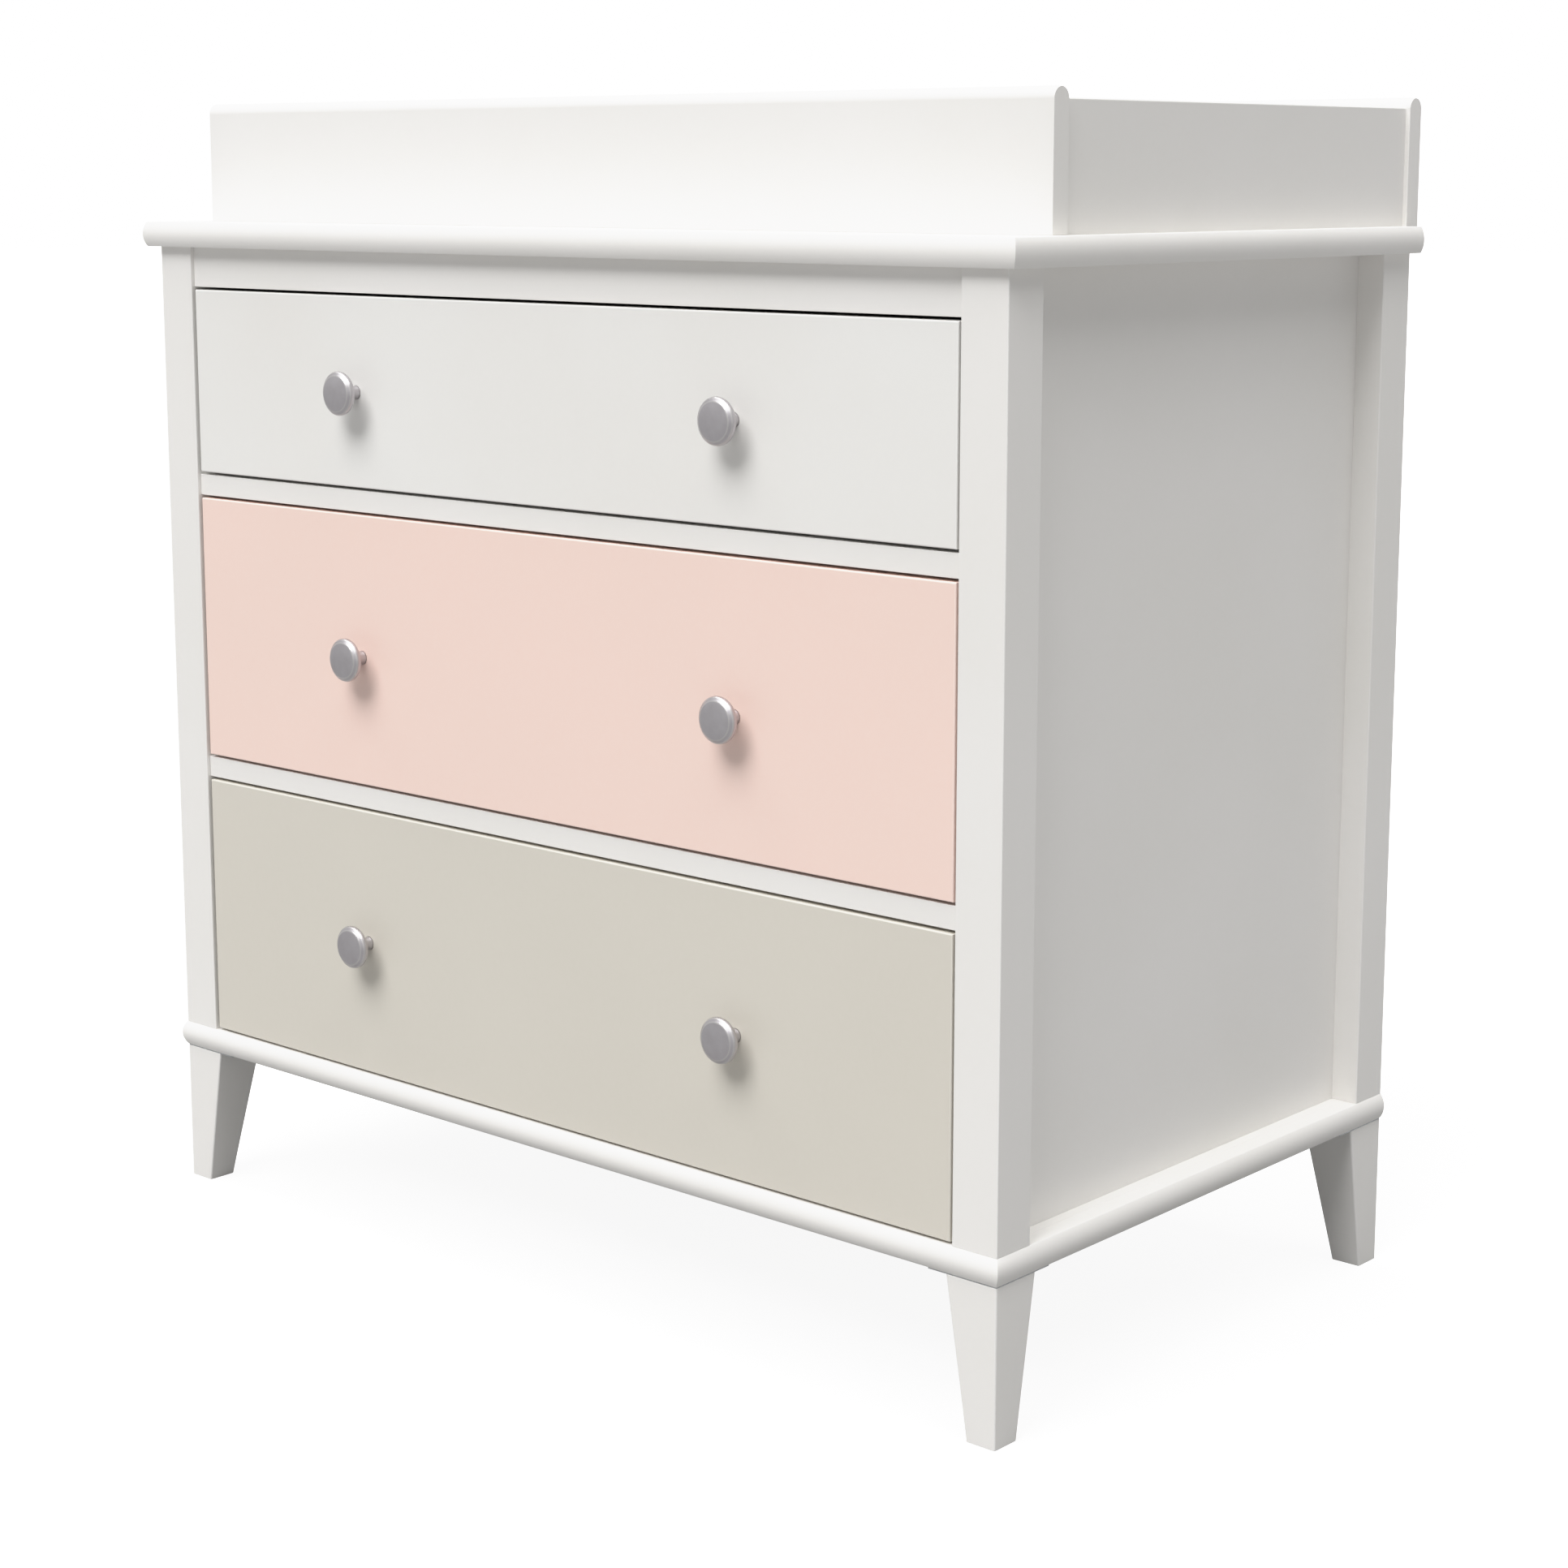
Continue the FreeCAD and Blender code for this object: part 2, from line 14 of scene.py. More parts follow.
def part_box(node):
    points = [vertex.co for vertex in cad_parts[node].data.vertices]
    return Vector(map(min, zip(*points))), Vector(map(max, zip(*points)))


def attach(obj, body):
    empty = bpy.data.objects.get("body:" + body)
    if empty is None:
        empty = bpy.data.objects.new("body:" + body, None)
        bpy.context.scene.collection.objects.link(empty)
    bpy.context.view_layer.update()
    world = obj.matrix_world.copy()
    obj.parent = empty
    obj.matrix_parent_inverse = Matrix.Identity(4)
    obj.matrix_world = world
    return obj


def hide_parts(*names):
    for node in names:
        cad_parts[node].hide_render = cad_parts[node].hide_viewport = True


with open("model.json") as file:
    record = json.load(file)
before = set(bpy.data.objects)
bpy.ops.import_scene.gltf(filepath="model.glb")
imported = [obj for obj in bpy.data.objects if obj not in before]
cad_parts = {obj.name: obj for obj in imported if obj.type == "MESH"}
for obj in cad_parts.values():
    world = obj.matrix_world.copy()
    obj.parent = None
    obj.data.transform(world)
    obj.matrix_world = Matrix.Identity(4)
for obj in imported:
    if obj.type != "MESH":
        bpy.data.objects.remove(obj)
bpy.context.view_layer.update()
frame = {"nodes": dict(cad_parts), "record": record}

MM = 0.001
LEFT, RIGHT = -1, 1
SIDES = ((LEFT, "left"), (RIGHT, "right"))
DRAWERS = ("bottom", "middle", "top")
# Marks the eased faces, which take a tint of their own: a paler tint is a painted highlight on the edges, a
# darker one is wear
EDGE_MARK = "eased_edge"

# Easing of the edges
BOARD_EASE = 1.0 * MM
END_EASE = 0.35 * MM
FRONT_EASE = 1.2 * MM
LEG_EASE = 1.6 * MM
MITRE_EASE = 0.25 * MM
INNER_EASE = 0.5 * MM
SHEET_EASE = 0.45 * MM
LOCK_EASE = 0.3 * MM
SCREW_EASE = 0.25 * MM
# An edge is eased where its faces turn by more than this many degrees
BOARD_SHARP = 50
MITRE_SHARP = 40
CAD_SHARP = 35
RING_SHARP = 14
# Points this close together count as one, and so do heights within the last of these
CAD_MERGE = 0.005 * MM
TURNED_MERGE = 0.002 * MM
LEVEL_WITHIN = 0.001 * MM
# Faces of a CAD mesh that lie within this many degrees of flat are joined
CAD_FLAT = 0.3

# Mouldings, tray boards and legs
TOP_BULGE = 3.0 * MM
BASE_BULGE = 3.8 * MM
LEG_FOOT = 27.0 * MM
ARC_STEPS = 15
ROUND_TOP_STEPS = 20

# Knobs and their screws
KNOB_RADIUS = 18.6 * MM
KNOB_PROJECTION = 24.0 * MM
KNOB_NECK = 14.0 * MM
KNOB_FOOT_RADIUS = 6.0 * MM
KNOB_WAIST_RADIUS = 5.0 * MM
KNOB_NECK_TOP_RADIUS = 7.0 * MM
KNOB_RIM = 4.5 * MM
KNOB_RIM_ROUND = 0.8 * MM
KNOB_BEVEL = 3.4 * MM
KNOB_BEVEL_RISE = 1.9 * MM
KNOB_DOME = 1.2 * MM
KNOB_SOFTEN = 1.2 * MM
KNOB_SCREW_RADIUS = 2.0 * MM
KNOB_SCREW_GRIP = 11.0 * MM
KNOB_SCREW_HEAD = 4.0 * MM
KNOB_SCREW_HEIGHT = 2.4 * MM
KNOB_SCREW_CROSS = 2.2 * MM
# The head's crown, as shares of its radius and height
SCREW_CROWN = ((1.0, 0.45), (0.9, 0.8), (0.7, 1.0))
NECK_STEPS = 14
RIM_STEPS = 8
DOME_STEPS = 16
TURN_STEPS = 72
SCREW_STEPS = 32
CROSS_ARM_WIDTH = 0.22
CROSS_DEPTH = 0.6

# Rollers
ROLLER_WIDTH = 8.0 * MM
ROLLER_ROUND = 0.4 * MM
ROLLER_RIM = 1.6 * MM
ROLLER_HUB = 3.3 * MM
ROLLER_DISH = 0.7 * MM
ROLLER_BORE = 2.1 * MM
ROLLER_STEPS = 40
TREAD_STEPS = 10

# Back panel nails
NAIL_RADIUS = 2.4 * MM
NAIL_HEIGHT = 0.7 * MM
NAIL_INSET = 9.0 * MM
NAIL_PITCH = 118.0 * MM
NAIL_TOP_SHARE = 0.6
NAIL_STEPS = 12


# Which body and which finish a CAD node has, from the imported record

node_body = {}
for body_name, members in frame["record"]["behaviour"]["bodies"].items():
    for member in members:
        node_body[member] = body_name
node_slot = {part["node"]: part["material_slot"] for part in frame["record"]["subparts"]}


# Materials

def linear(code):
    """An sRGB hex colour as the linear colour that the shaders work in."""
    channels = [int(code[i:i + 2], 16) / 255 for i in (1, 3, 5)]
    return [c / 12.92 if c <= 0.04045 else ((c + 0.055) / 1.055) ** 2.4 for c in channels] + [1.0]


def per_mm(size):
    """The texture scale whose features are this many millimetres across."""
    return 1 / (size * MM)


def add(tree, kind, inputs=None, **settings):
    """Add a node: settings are its properties, and inputs are values or the sockets they come from."""
    made = tree.nodes.new("ShaderNode" + kind)
    for name, value in settings.items():
        setattr(made, name, value)
    for name, value in (inputs or {}).items():
        if isinstance(value, bpy.types.NodeSocket):
            tree.links.new(value, made.inputs[name])
        else:
            made.inputs[name].default_value = value
    return made


def new_material(name, **values):
    """An empty material with its shader, whose even values are set on the shader's own sockets."""
    made = bpy.data.materials.new(name)
    made.use_nodes = True
    tree = made.node_tree
    tree.nodes.clear()
    shader = add(tree, "BsdfPrincipled")
    for socket, value in values.items():
        shader.inputs[socket.replace("_", " ")].default_value = value
    add(tree, "OutputMaterial", {"Surface": shader.outputs[0]})
    place = add(tree, "TexCoord").outputs["Object"]
    return made, tree, shader, place


def cloudy(tree, place, size, low, high, detail):
    """A cloudy pattern from low to high, with features this many millimetres across."""
    cloud = add(tree, "TexNoise", {"Vector": place, "Scale": per_mm(size), "Detail": detail})
    spread = add(tree, "MapRange", {"Value": cloud.outputs["Fac"], "From Min": 0.3, "From Max": 0.7,
                                    "To Min": low, "To Max": high})
    return spread.outputs["Result"]


def mottled(tree, place, size, first, second, detail, share=1.0):
    """The first colour, clouded by up to a share of the second."""
    factor = cloudy(tree, place, size, 0, share, detail)
    return add(tree, "Mix", {0: factor, 6: first, 7: second}, data_type="RGBA").outputs[2]


def edge_sheen_and_wear(tree, colour, edge_tint, share):
    """The colour, with a share of the edge tint on the eased edges: a paler tint there is a painted
    highlight, a darker one is wear.
    """
    mark = add(tree, "Attribute", attribute_name=EDGE_MARK).outputs["Fac"]
    # share of the edge tint: painted highlight where the tint is paler, wear where it is darker
    tinted = add(tree, "Math", {0: mark, 1: share}, operation="MULTIPLY").outputs[0]
    return add(tree, "Mix", {0: tinted, 6: colour, 7: edge_tint}, data_type="RGBA").outputs[2]


def grained(tree, shader, place, size, depth, detail):
    """Raise the surface in grains this many millimetres across and this deep in metres."""
    grain = add(tree, "TexNoise", {"Vector": place, "Scale": per_mm(size), "Detail": detail})
    raised = add(tree, "Bump", {"Height": grain.outputs["Fac"], "Distance": depth, "Strength": 1.0})
    tree.links.new(raised.outputs["Normal"], shader.inputs["Normal"])


def sprayed_paint(name, colour, drifted, edge_tint):
    """Satin lacquer sprayed on fibreboard: an even film that drifts slightly in tone over a board,
    with the faint orange peel of a spray gun, edges made smoother by the rubbing of hands and cloths,
    and a paler tint on the eased edges as a painted highlight."""
    made, tree, shader, place = new_material(name, IOR=1.5, Specular_IOR_Level=0.4)
    film = mottled(tree, place, 210, linear(colour), linear(drifted), 3)
    fine = mottled(tree, place, 5, film, linear(edge_tint), 4, share=0.10)
    # the paler tint on the eased edges is a painted highlight
    tree.links.new(edge_sheen_and_wear(tree, fine, linear(edge_tint), 0.45), shader.inputs["Base Color"])
    gloss = cloudy(tree, place, 14, 0.40, 0.50, 3)
    mark = add(tree, "Attribute", attribute_name=EDGE_MARK).outputs["Fac"]
    smoother = add(tree, "Math", {0: mark, 1: -0.08, 2: gloss}, operation="MULTIPLY_ADD")
    tree.links.new(smoother.outputs[0], shader.inputs["Roughness"])
    # real orange peel is about 1.5 mm across, drawn at 3.5 mm so that it shows
    grained(tree, shader, place, 3.5, 0.02 * MM, 2)
    return made


def melamine_laminate():
    """Melamine paper pressed on particle board: even and hard, with a fine pressed grain."""
    made, tree, shader, place = new_material("melamine_laminate", IOR=1.5, Specular_IOR_Level=0.5)
    face = mottled(tree, place, 9, linear("#EDECE8"), linear("#E6E5E0"), 4)
    tree.links.new(face, shader.inputs["Base Color"])
    tree.links.new(cloudy(tree, place, 4, 0.34, 0.46, 3), shader.inputs["Roughness"])
    grained(tree, shader, place, 1.6, 0.02 * MM, 3)
    return made


def faced_hardboard():
    """Thin hardboard with a printed white face, whose pressed fibres show as short matted flecks."""
    made, tree, shader, place = new_material("faced_hardboard", IOR=1.48, Specular_IOR_Level=0.3)
    along_x = add(tree, "Mapping", {"Vector": place, "Scale": (0.35, 1.0, 1.0)}).outputs[0]
    fibres = mottled(tree, along_x, 6, linear("#E7E5DF"), linear("#DFDCD4"), 6)
    face = mottled(tree, place, 150, fibres, linear("#E6E4DE"), 2)
    tree.links.new(face, shader.inputs["Base Color"])
    tree.links.new(cloudy(tree, along_x, 6, 0.55, 0.72, 6), shader.inputs["Roughness"])
    grained(tree, shader, along_x, 3, 0.06 * MM, 5)
    return made


def satin_nickel():
    """Nickel plated on cast zinc and brought to satin by rubbing: a soft grey metal with broad highlights,
    a fine even grain, and a paler tint on the eased edges as a painted highlight."""
    made, tree, shader, place = new_material("satin_nickel", Metallic=1.0)
    body = mottled(tree, place, 11, linear("#C6C3C6"), linear("#BDB9BC"), 4)
    # a paler tint on the eased edges: painted highlight
    tree.links.new(edge_sheen_and_wear(tree, body, linear("#D6D4D2"), 0.6), shader.inputs["Base Color"])
    tree.links.new(cloudy(tree, place, 2.2, 0.30, 0.38, 4), shader.inputs["Roughness"])
    grained(tree, shader, place, 0.8, 0.004 * MM, 3)
    return made


def powder_coat():
    """White epoxy powder baked on steel strip: a slightly pebbled, low-gloss skin."""
    made, tree, shader, place = new_material("powder_coat", IOR=1.52, Specular_IOR_Level=0.5)
    skin = mottled(tree, place, 30, linear("#E6E6E3"), linear("#DDDDD9"), 3)
    tree.links.new(edge_sheen_and_wear(tree, skin, linear("#C4C5C4"), 0.5), shader.inputs["Base Color"])
    tree.links.new(cloudy(tree, place, 3, 0.38, 0.50, 3), shader.inputs["Roughness"])
    grained(tree, shader, place, 1.3, 0.03 * MM, 2)
    return made


def natural_nylon():
    """Moulded nylon, milky and slightly see-through, with a low sheen."""
    made, tree, shader, place = new_material("natural_nylon", IOR=1.53, Subsurface_Weight=0.25,
                                             Subsurface_Radius=(0.9, 0.8, 0.7), Subsurface_Scale=1.5 * MM)
    body = mottled(tree, place, 4, linear("#E9E6DC"), linear("#DEDACD"), 3)
    tree.links.new(body, shader.inputs["Base Color"])
    tree.links.new(cloudy(tree, place, 1.5, 0.42, 0.58, 3), shader.inputs["Roughness"])
    grained(tree, shader, place, 0.9, 0.015 * MM, 2)
    return made


def zinc_plate():
    """Bright zinc plating on steel, clouded by its clear passivation."""
    made, tree, shader, place = new_material("zinc_plate", Metallic=1.0)
    plate = mottled(tree, place, 5, linear("#C9CBCC"), linear("#AEB0B3"), 4)
    # a paler tint on the eased edges: painted highlight
    tree.links.new(edge_sheen_and_wear(tree, plate, linear("#DADBDB"), 0.4), shader.inputs["Base Color"])
    tree.links.new(cloudy(tree, place, 1.4, 0.26, 0.42, 4), shader.inputs["Roughness"])
    grained(tree, shader, place, 0.7, 0.006 * MM, 3)
    return made


finishes = {
    # The third colour of each paint is a paler tint, painted on the eased edges as a highlight and in faint
    # flecks
    "painted_white": sprayed_paint("satin_white_paint", "#F0EEEB", "#EDEBE7", "#F4F2F0"),
    "painted_soft_white": sprayed_paint("satin_soft_white_paint", "#EFEEEB", "#ECEAE6", "#F3F2EF"),
    "painted_blush": sprayed_paint("satin_blush_paint", "#FADDD2", "#F7DCD1", "#FBE6DE"),
    "painted_greige": sprayed_paint("satin_greige_paint", "#DAD5CA", "#D8D3C8", "#E0DCD3"),
    "white_laminate": melamine_laminate(),
    "white_hardboard": faced_hardboard(),
    "satin_nickel": satin_nickel(),
    "powder_coated_steel": powder_coat(),
    "nylon": natural_nylon(),
    "zinc_plated_steel": zinc_plate(),
}


# Making and finishing a piece

def new_solid(source=None):
    """A mesh that can mark its eased edges: an empty one, or a copy of a CAD node's."""
    bm = bmesh.new()
    if source:
        bm.from_mesh(frame["nodes"][source].data)
    bm.faces.layers.float.new(EDGE_MARK)
    return bm


def ease_edges(bm, width, pick=None, segments=3, sharper_than=BOARD_SHARP):
    """Round the solid's sharp edges, or those that pick() allows, and mark the rounded faces."""
    sharp = [e for e in bm.edges if e.calc_face_angle(0) > math.radians(sharper_than)]
    chosen = [e for e in sharp if pick is None or pick(e)]
    made = bmesh.ops.bevel(bm, geom=chosen, offset=width, offset_type="OFFSET", segments=segments,
                           profile=0.5, affect="EDGES", material=-1, clamp_overlap=True)
    mark = bm.faces.layers.float[EDGE_MARK]
    for face in made["faces"]:
        face[mark] = 1.0


def along(axis):
    """A pick for the edges that run along one axis: 0, 1 or 2."""
    def pick(edge):
        """True for an edge that runs along the axis."""
        run = edge.verts[1].co - edge.verts[0].co
        return abs(run[axis]) > 0.9 * run.length
    return pick


def block(bm, low, high):
    """A box between two corners."""
    made = bmesh.ops.create_cube(bm, size=1.0)["verts"]
    bmesh.ops.scale(bm, vec=high - low, verts=made)
    bmesh.ops.translate(bm, vec=(low + high) / 2, verts=made)
    return made


def finished(bm, name, body, slot):
    """Make the piece, facing outwards and shaded so that its flat faces stay flat."""
    bmesh.ops.recalc_face_normals(bm, faces=bm.faces)
    mesh = bpy.data.meshes.new(name)
    bm.to_mesh(mesh)
    bm.free()
    mesh.shade_smooth()
    mesh.materials.append(finishes[slot])
    piece = bpy.data.objects.new(name, mesh)
    bpy.context.scene.collection.objects.link(piece)
    piece.modifiers.new("even shading", "WEIGHTED_NORMAL")
    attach(piece, body)
    return piece


def stand_for(bm, name, node):
    """Make the piece that stands for a CAD node, with the node's own body and finish."""
    piece = finished(bm, name, node_body[node], node_slot[node])
    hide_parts(node)
    return piece


def board(node, name, long_axis, ease=BOARD_EASE):
    """A board with its long edges eased and its ends just broken."""
    bm = new_solid()
    block(bm, *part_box(node))
    ease_edges(bm, ease, along(long_axis))
    ease_edges(bm, END_EASE, segments=2)
    return stand_for(bm, name, node)


def cad_copy(node, ease):
    """A copy of the CAD piece's own mesh, merged, with its corners eased."""
    bm = new_solid(node)
    bmesh.ops.remove_doubles(bm, verts=bm.verts, dist=CAD_MERGE)
    bmesh.ops.dissolve_limit(bm, angle_limit=math.radians(CAD_FLAT), verts=bm.verts, edges=bm.edges)
    ease_edges(bm, ease, segments=2, sharper_than=CAD_SHARP)
    return bm


# Sections with one round side, drawn out along X

def round_section(bm, start, centre, angle, steps, corners):
    """A flat section in the YZ plane: an arc from start about a centre, then straight by the corners
    back to the start."""
    first = bm.verts.new(start)
    swept = bmesh.ops.spin(bm, geom=[first], cent=centre, axis=(1, 0, 0), angle=angle, steps=steps,
                           use_duplicate=False)
    last = next(g for g in swept["geom_last"] if isinstance(g, bmesh.types.BMVert))
    path = [last] + [bm.verts.new(corner) for corner in corners] + [first]
    for pair in zip(path, path[1:]):
        bm.edges.new(pair)
    return bmesh.ops.contextual_create(bm, geom=list(bm.edges))["faces"][0]


def draw_out(bm, face, length):
    """Draw a section out along X into a solid."""
    drawn = bmesh.ops.extrude_face_region(bm, geom=[face])["geom"]
    moved = [g for g in drawn if isinstance(g, bmesh.types.BMVert)]
    bmesh.ops.translate(bm, vec=(length, 0, 0), verts=moved)


# Mouldings: a square-backed strip with a bowed outer face, mitred at the front corners

def mitred_strip(height, depth, bulge, low_x, high_x, mitred):
    """A strip from low_x to high_x, with a 45 degree mitre at each end that is named. Its bowed face is
    an arc from the bottom corner to the top one, whose middle reaches y = 0, and its back is at y = depth."""
    bm = new_solid()
    radius = (height * height / 4 + bulge * bulge) / (2 * bulge)
    reach = 2 * math.asin(height / 2 / radius)
    face = round_section(bm, (0, bulge, 0), (0, radius, height / 2), -reach, ARC_STEPS,
                         [(0, depth, height), (0, depth, 0)])
    near_end = list(bm.verts)
    draw_out(bm, face, high_x - low_x)
    ends = {LEFT: near_end, RIGHT: [v for v in bm.verts if v not in near_end]}
    for end in mitred:
        slide = Matrix.Identity(4)
        slide[0][1] = -end  # a point this deep behind the face moves as far in from the end
        bmesh.ops.transform(bm, matrix=slide, verts=ends[end])
    bmesh.ops.translate(bm, vec=(low_x, 0, 0), verts=bm.verts)
    return bm


def add_mouldings(level, bulge):
    """The front, left and right mouldings round the top or the base."""
    low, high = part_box(level + "_moulding_front")
    height, depth = high.z - low.z, high.y - low.y
    front = mitred_strip(height, depth, bulge, low.x, high.x, (LEFT, RIGHT))
    bmesh.ops.translate(front, vec=(0, low.y, low.z), verts=front.verts)
    ease_edges(front, MITRE_EASE, segments=2, sharper_than=MITRE_SHARP)
    stand_for(front, level + "_front_moulding", level + "_moulding_front")
    for side, word in SIDES:
        node = "%s_moulding_%s" % (level, word)
        low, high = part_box(node)
        # turned to run along Y, the left strip has its right end at the front, and the right strip its left
        strip = mitred_strip(height, depth, bulge, 0, high.y - low.y, (-side,))
        turn = Matrix.Rotation(math.radians(90 * side), 4, "Z")
        bmesh.ops.rotate(strip, cent=(0, 0, 0), matrix=turn, verts=strip.verts)
        outer_x = low.x if side == LEFT else high.x
        start_y = low.y if side == RIGHT else high.y
        bmesh.ops.translate(strip, vec=(outer_x, start_y, low.z), verts=strip.verts)
        ease_edges(strip, MITRE_EASE, segments=2, sharper_than=MITRE_SHARP)
        stand_for(strip, "%s_%s_moulding" % (level, word), node)


# Case, base and top

def add_case():
    """Posts, panels, rails and the top and base panels."""
    for end in ("front", "rear"):
        for side, word in SIDES:
            board("post_%s_%s" % (end, word), "%s_%s_post" % (end, word), 2)
    for side, word in SIDES:
        board("side_panel_" + word, word + "_side_panel", 2, END_EASE)
    for node in ("top_rail", "upper_rail", "lower_rail", "rear_rail"):
        board(node, node + "_board", 0, INNER_EASE)
    for node in ("top_panel", "base_panel"):
        board(node, node + "_board", 0, END_EASE)
    board("back_panel", "back_sheet", 2, END_EASE)


# Legs

def add_legs():
    """Legs that taper on their two inner faces and stand flush with the corner on the outer two."""
    for end, y_side in (("front", LEFT), ("rear", RIGHT)):
        for x_side, word in SIDES:
            node = "leg_%s_%s" % (end, word)
            low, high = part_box(node)
            bm = new_solid()
            block(bm, low, high)
            corner = Vector((high.x if x_side == RIGHT else low.x, high.y if y_side == RIGHT else low.y, 0))
            foot = [v for v in bm.verts if v.co.z < (low.z + high.z) / 2]
            share = LEG_FOOT / (high.x - low.x)
            bmesh.ops.scale(bm, vec=(share, share, 1), verts=foot, space=Matrix.Translation(-corner))
            ease_edges(bm, LEG_EASE, along(2))
            ease_edges(bm, END_EASE, segments=2)
            stand_for(bm, "%s_%s_leg" % (end, word), node)
    stand_for(cad_copy("leg_mounts", SHEET_EASE), "leg_plates", "leg_mounts")


# Changing tray

def add_tray():
    """Front and rear boards with a full round top edge, and the side boards."""
    for end in ("front", "rear"):
        node = "tray_%s_board" % end
        low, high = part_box(node)
        bm = new_solid()
        radius = (high.y - low.y) / 2
        level = high.z - radius
        face = round_section(bm, (low.x, low.y, level), (low.x, low.y + radius, level), -math.pi,
                             ROUND_TOP_STEPS, [(low.x, high.y, low.z), (low.x, low.y, low.z)])
        draw_out(bm, face, high.x - low.x)
        ease_edges(bm, INNER_EASE, segments=2)
        stand_for(bm, end + "_tray_board", node)
    for side, word in SIDES:
        node = "tray_%s_board" % word
        stand_for(cad_copy(node, INNER_EASE), word + "_tray_board", node)


# Turned pieces

def arc_through(start, middle, end, steps):
    """Points along the arc from start through middle to end."""
    (ax, ay), (bx, by), (cx, cy) = start, middle, end
    a2, b2, c2 = ax * ax + ay * ay, bx * bx + by * by, cx * cx + cy * cy
    twice = 2 * (ax * (by - cy) + bx * (cy - ay) + cx * (ay - by))
    centre = Vector(((a2 * (by - cy) + b2 * (cy - ay) + c2 * (ay - by)) / twice,
                     (a2 * (cx - bx) + b2 * (ax - cx) + c2 * (bx - ax)) / twice))
    first, last = Vector(start) - centre, Vector(end) - centre
    turn = last.angle_signed(first)
    return [tuple(centre + Matrix.Rotation(turn * i / steps, 2) @ first) for i in range(steps + 1)]


def turned(outline, steps, closed=False):
    """Turn an outline of (radius, height) points about the Z axis."""
    bm = new_solid()
    points = [bm.verts.new((radius, 0, height)) for radius, height in outline]
    after = points[1:] + points[:1] if closed else points[1:]
    edges = [bm.edges.new(pair) for pair in zip(points, after)]
    bmesh.ops.spin(bm, geom=points + edges, cent=(0, 0, 0), axis=(0, 0, 1), angle=2 * math.pi,
                   steps=steps, use_merge=True, use_duplicate=False)
    bmesh.ops.remove_doubles(bm, verts=bm.verts, dist=TURNED_MERGE)
    return bm


def facing(point, out):
    """A place at a point, whose own Z axis points out."""
    return Matrix.Translation(point) @ Vector(out).to_track_quat("Z", "Y").to_matrix().to_4x4()


def put(target, solid, place):
    """Add a solid made at the origin to a piece, at its place."""
    bmesh.ops.recalc_face_normals(solid, faces=solid.faces)
    bmesh.ops.transform(solid, matrix=place, verts=solid.verts)
    carrier = bpy.data.meshes.new("carrier")
    solid.to_mesh(carrier)
    solid.free()
    target.from_mesh(carrier)
    bpy.data.meshes.remove(carrier)


def screw(outline, cross):
    """A screw turned from its tip to its head's rim, whose flat top is closed round a sunk cross."""
    bm = turned(outline, SCREW_STEPS)
    rim = [e for e in bm.edges if e.is_boundary]
    top = outline[-1][1]
    narrow = cross * CROSS_ARM_WIDTH
    quarter = [(cross, -narrow), (cross, narrow), (narrow, narrow)]
    corners = []
    for step in range(4):
        turn = Matrix.Rotation(math.radians(90 * step), 2)
        corners += [bm.verts.new((*(turn @ Vector(point)), top)) for point in quarter]
    slot = [bm.edges.new(pair) for pair in zip(corners, corners[1:] + corners[:1])]
    bmesh.ops.triangle_fill(bm, edges=rim + slot, use_beauty=True)
    sunk = bmesh.ops.extrude_edge_only(bm, edges=slot)["geom"]
    floor = [g for g in sunk if isinstance(g, bmesh.types.BMVert)]
    bmesh.ops.translate(bm, vec=(0, 0, -cross * CROSS_DEPTH), verts=floor)
    bmesh.ops.contextual_create(bm, geom=[g for g in sunk if isinstance(g, bmesh.types.BMEdge)])
    return bm


# Knobs, each with the screw that holds it

def knob_outline():
    """A waisted neck, the back of the head, a rounded rim, a bevel and a domed face."""
    bevel_end = KNOB_PROJECTION - KNOB_DOME
    rim_end = bevel_end - KNOB_BEVEL_RISE
    rim_start = rim_end - KNOB_RIM
    rim_edge = KNOB_RADIUS - KNOB_RIM_ROUND
    face_radius = KNOB_RADIUS - KNOB_BEVEL
    neck = arc_through((KNOB_FOOT_RADIUS, 0), (KNOB_WAIST_RADIUS, KNOB_NECK / 2),
                       (KNOB_NECK_TOP_RADIUS, KNOB_NECK), NECK_STEPS)
    rim_middle = (rim_start + rim_end) / 2
    rim = arc_through((rim_edge, rim_start), (KNOB_RADIUS, rim_middle), (rim_edge, rim_end), RIM_STEPS)
    dome = arc_through((face_radius, bevel_end), (0, KNOB_PROJECTION), (-face_radius, bevel_end),
                       DOME_STEPS)
    return [(0, 0)] + neck + rim + dome[:DOME_STEPS // 2] + [(0, KNOB_PROJECTION)]


def ring_of_head(edge):
    """True for the rings round a knob's head, which lie level and above its neck's middle."""
    first, second = (v.co.z for v in edge.verts)
    return abs(first - second) < LEVEL_WITHIN and first > KNOB_NECK / 2


